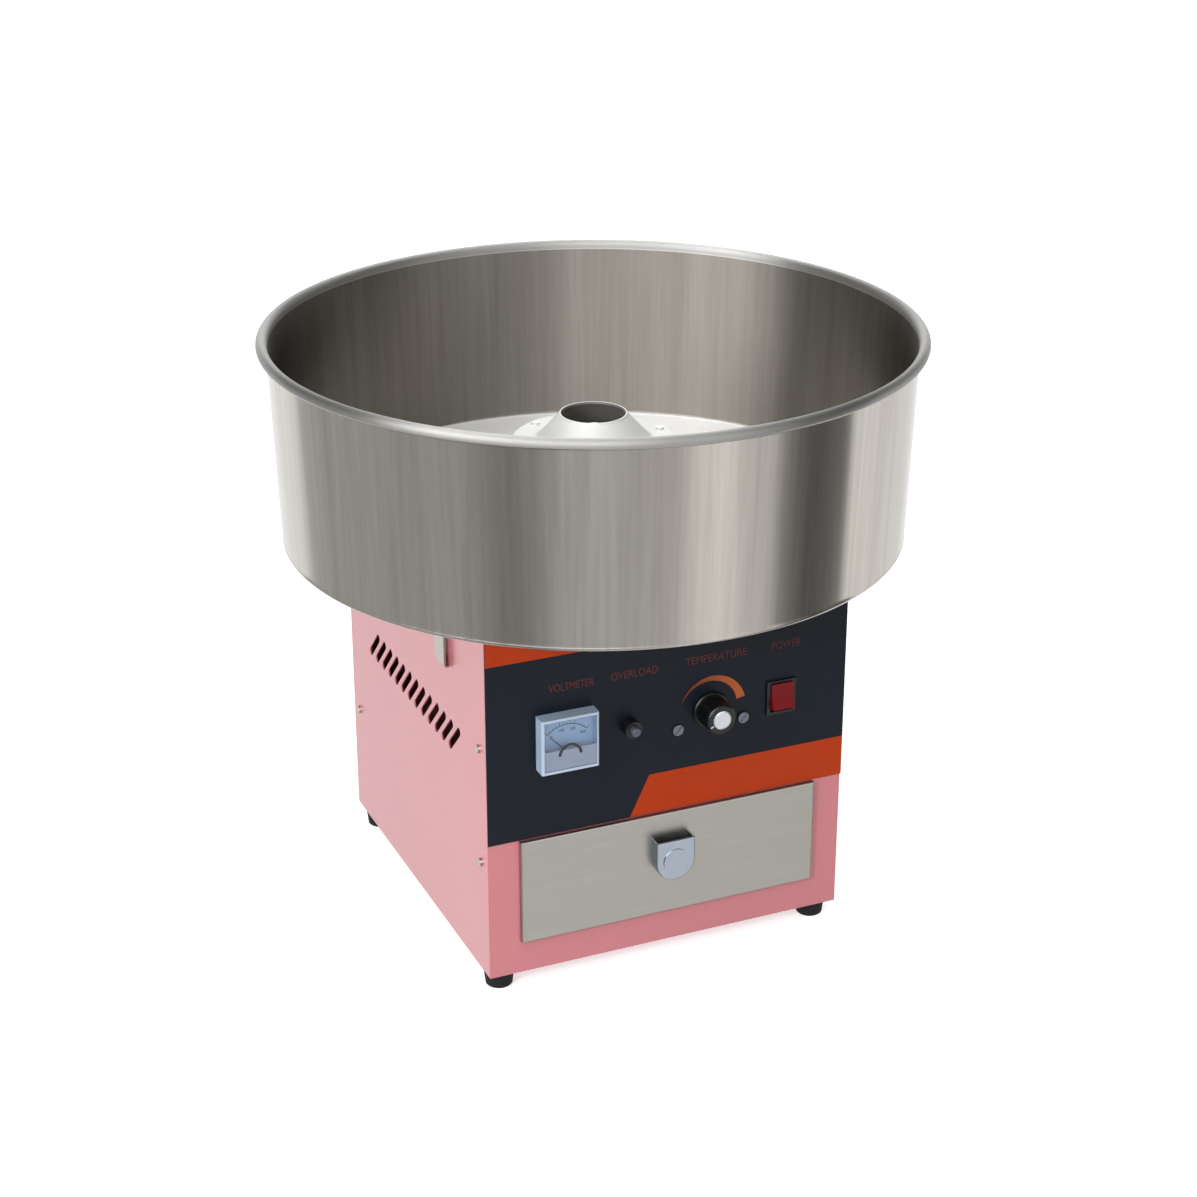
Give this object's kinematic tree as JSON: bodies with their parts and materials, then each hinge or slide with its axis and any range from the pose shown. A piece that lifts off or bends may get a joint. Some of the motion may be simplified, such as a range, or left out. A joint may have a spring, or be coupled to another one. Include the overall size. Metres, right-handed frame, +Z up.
{
  "type": "electric candy floss machine",
  "caption": "Electric candy floss machine: a square steel cabinet with a drawer and a row of controls, under a wide open bowl with a spinning sugar head.",
  "frame": {"origin": "on the ground under the motor shaft, 13 mm in front of the middle of the four feet", "axes": "+Z up along the motor shaft; -Y is the side with the drawer and the controls; +X is to the right for someone who faces the controls"},
  "size_m": [0.5199, 0.52, 0.4823],
  "materials": {
    "cabinet_paint": "satin pink powder coat",
    "fascia_print": "printed polyester overlay, satin",
    "feet_rubber": "matt",
    "bright_zinc": "zinc plated",
    "bowl_steel": "spun and brushed",
    "spring_steel": "rolled",
    "drawer_steel": "brushed lengthwise",
    "pull_chrome": "polished",
    "meter_plastic": "moulded",
    "meter_clear": "clear acrylic",
    "meter_white": "matt white with a printed scale",
    "needle_paint": "matt",
    "black_plastic": "fine moulded grain",
    "button_grey": "satin",
    "rocker_red": "translucent red",
    "knob_cap_metal": "turned",
    "shaft_steel": "ground",
    "motor_paint": "satin enamel",
    "bell_aluminium": "die cast",
    "core_steel": "stacked laminations",
    "plate_steel": "zinc plated",
    "fan_plastic": "moulded",
    "brass": "turned",
    "carrier_phenolic": "moulded",
    "carbon": "pressed carbon",
    "head_aluminium": "cast and turned",
    "band_steel": "perforated",
    "heater_alloy": "heat tinted",
    "capacitor_can": "moulded can",
    "terminal_plastic": "moulded"
  },
  "bodies": {
    "cabinet": {"base_pan": "cabinet_paint", "divider_shelf": "cabinet_paint", "front_panel": "cabinet_paint", "rear_panel": "cabinet_paint", "left_side_panel": "cabinet_paint", "right_side_panel": "cabinet_paint", "deck_plate": "cabinet_paint", "side_panel_screws": "bright_zinc", "rubber_feet": "feet_rubber", "foot_screws": "bright_zinc", "control_fascia": "fascia_print", "voltmeter_case": "meter_plastic", "voltmeter_dial": "meter_white", "voltmeter_glass": "meter_clear", "voltmeter_mask": "meter_white", "overload_breaker": "black_plastic", "heat_regulator": "black_plastic", "regulator_screws": "bright_zinc", "switch_housing": "black_plastic", "left_drawer_runner": "plate_steel", "right_drawer_runner": "plate_steel", "bowl_seat_ring": "bell_aluminium", "motor_plate": "plate_steel", "rubber_motor_mounts": "feet_rubber", "motor_mount_studs": "bright_zinc", "motor_shell": "motor_paint", "motor_upper_bell": "bell_aluminium", "motor_lower_bell": "bell_aluminium", "motor_bearings": "shaft_steel", "motor_stator": "core_steel", "brush_holder": "carrier_phenolic", "carbon_brushes": "carbon", "brush_leaf_spring": "spring_steel", "run_capacitor": "capacitor_can", "terminal_block": "terminal_plastic", "cable_gland": "black_plastic", "gland_nut": "black_plastic"},
    "spinner": {"motor_shaft": "shaft_steel", "motor_rotor": "core_steel", "cooling_fan": "fan_plastic", "slip_ring_carrier": "carrier_phenolic", "slip_rings": "brass", "head_base": "head_aluminium", "heater_ring": "heater_alloy", "head_mesh_band": "band_steel", "head_cover": "head_aluminium", "head_screws": "bright_zinc"},
    "bowl": {"bowl": "bowl_steel", "left_bowl_clip": "spring_steel", "right_bowl_clip": "spring_steel", "bowl_clip_rivets": "bright_zinc"},
    "drawer": {"drawer_box": "drawer_steel", "drawer_front": "drawer_steel", "drawer_pull": "pull_chrome"},
    "knob": {"regulator_spindle": "shaft_steel", "regulator_knob": "black_plastic", "regulator_knob_cap": "knob_cap_metal"},
    "rocker": {"switch_rocker": "rocker_red"},
    "reset_button": {"overload_reset_button": "button_grey"},
    "needle": {"voltmeter_needle": "needle_paint"}
  },
  "joints": [
    {"name": "head_spin", "type": "hinge", "parent": "cabinet", "child": "spinner", "pos_m": [0, 0, 0.361], "axis": [0, 0, 1], "continuous": true},
    {"name": "bowl_lift", "type": "slide", "parent": "cabinet", "child": "bowl", "axis": [0, 0, 1], "range_m": [0, 0.17]},
    {"name": "drawer_slide", "type": "slide", "parent": "cabinet", "child": "drawer", "axis": [0, -1, 0], "range_m": [0, 0.2]},
    {"name": "heat_knob_turn", "type": "hinge", "parent": "cabinet", "child": "knob", "pos_m": [0.034, -0.1485, 0.213], "axis": [0, 1, 0], "range_deg": [0, 270]},
    {"name": "rocker_tip", "type": "hinge", "parent": "cabinet", "child": "rocker", "pos_m": [0.0945, -0.144, 0.213], "axis": [1, 0, 0], "range_deg": [0, 22]},
    {"name": "reset_press", "type": "slide", "parent": "cabinet", "child": "reset_button", "axis": [0, 1, 0], "range_m": [0, 0.003], "stiffness_N_per_m": 300, "springref_m": -0.002},
    {"name": "needle_swing", "type": "hinge", "parent": "cabinet", "child": "needle", "pos_m": [-0.088, -0.1525, 0.204], "axis": [0, 1, 0], "range_deg": [0, 90], "stiffness_Nm_per_rad": 0.00002, "springref_deg": -17.19}
  ]
}
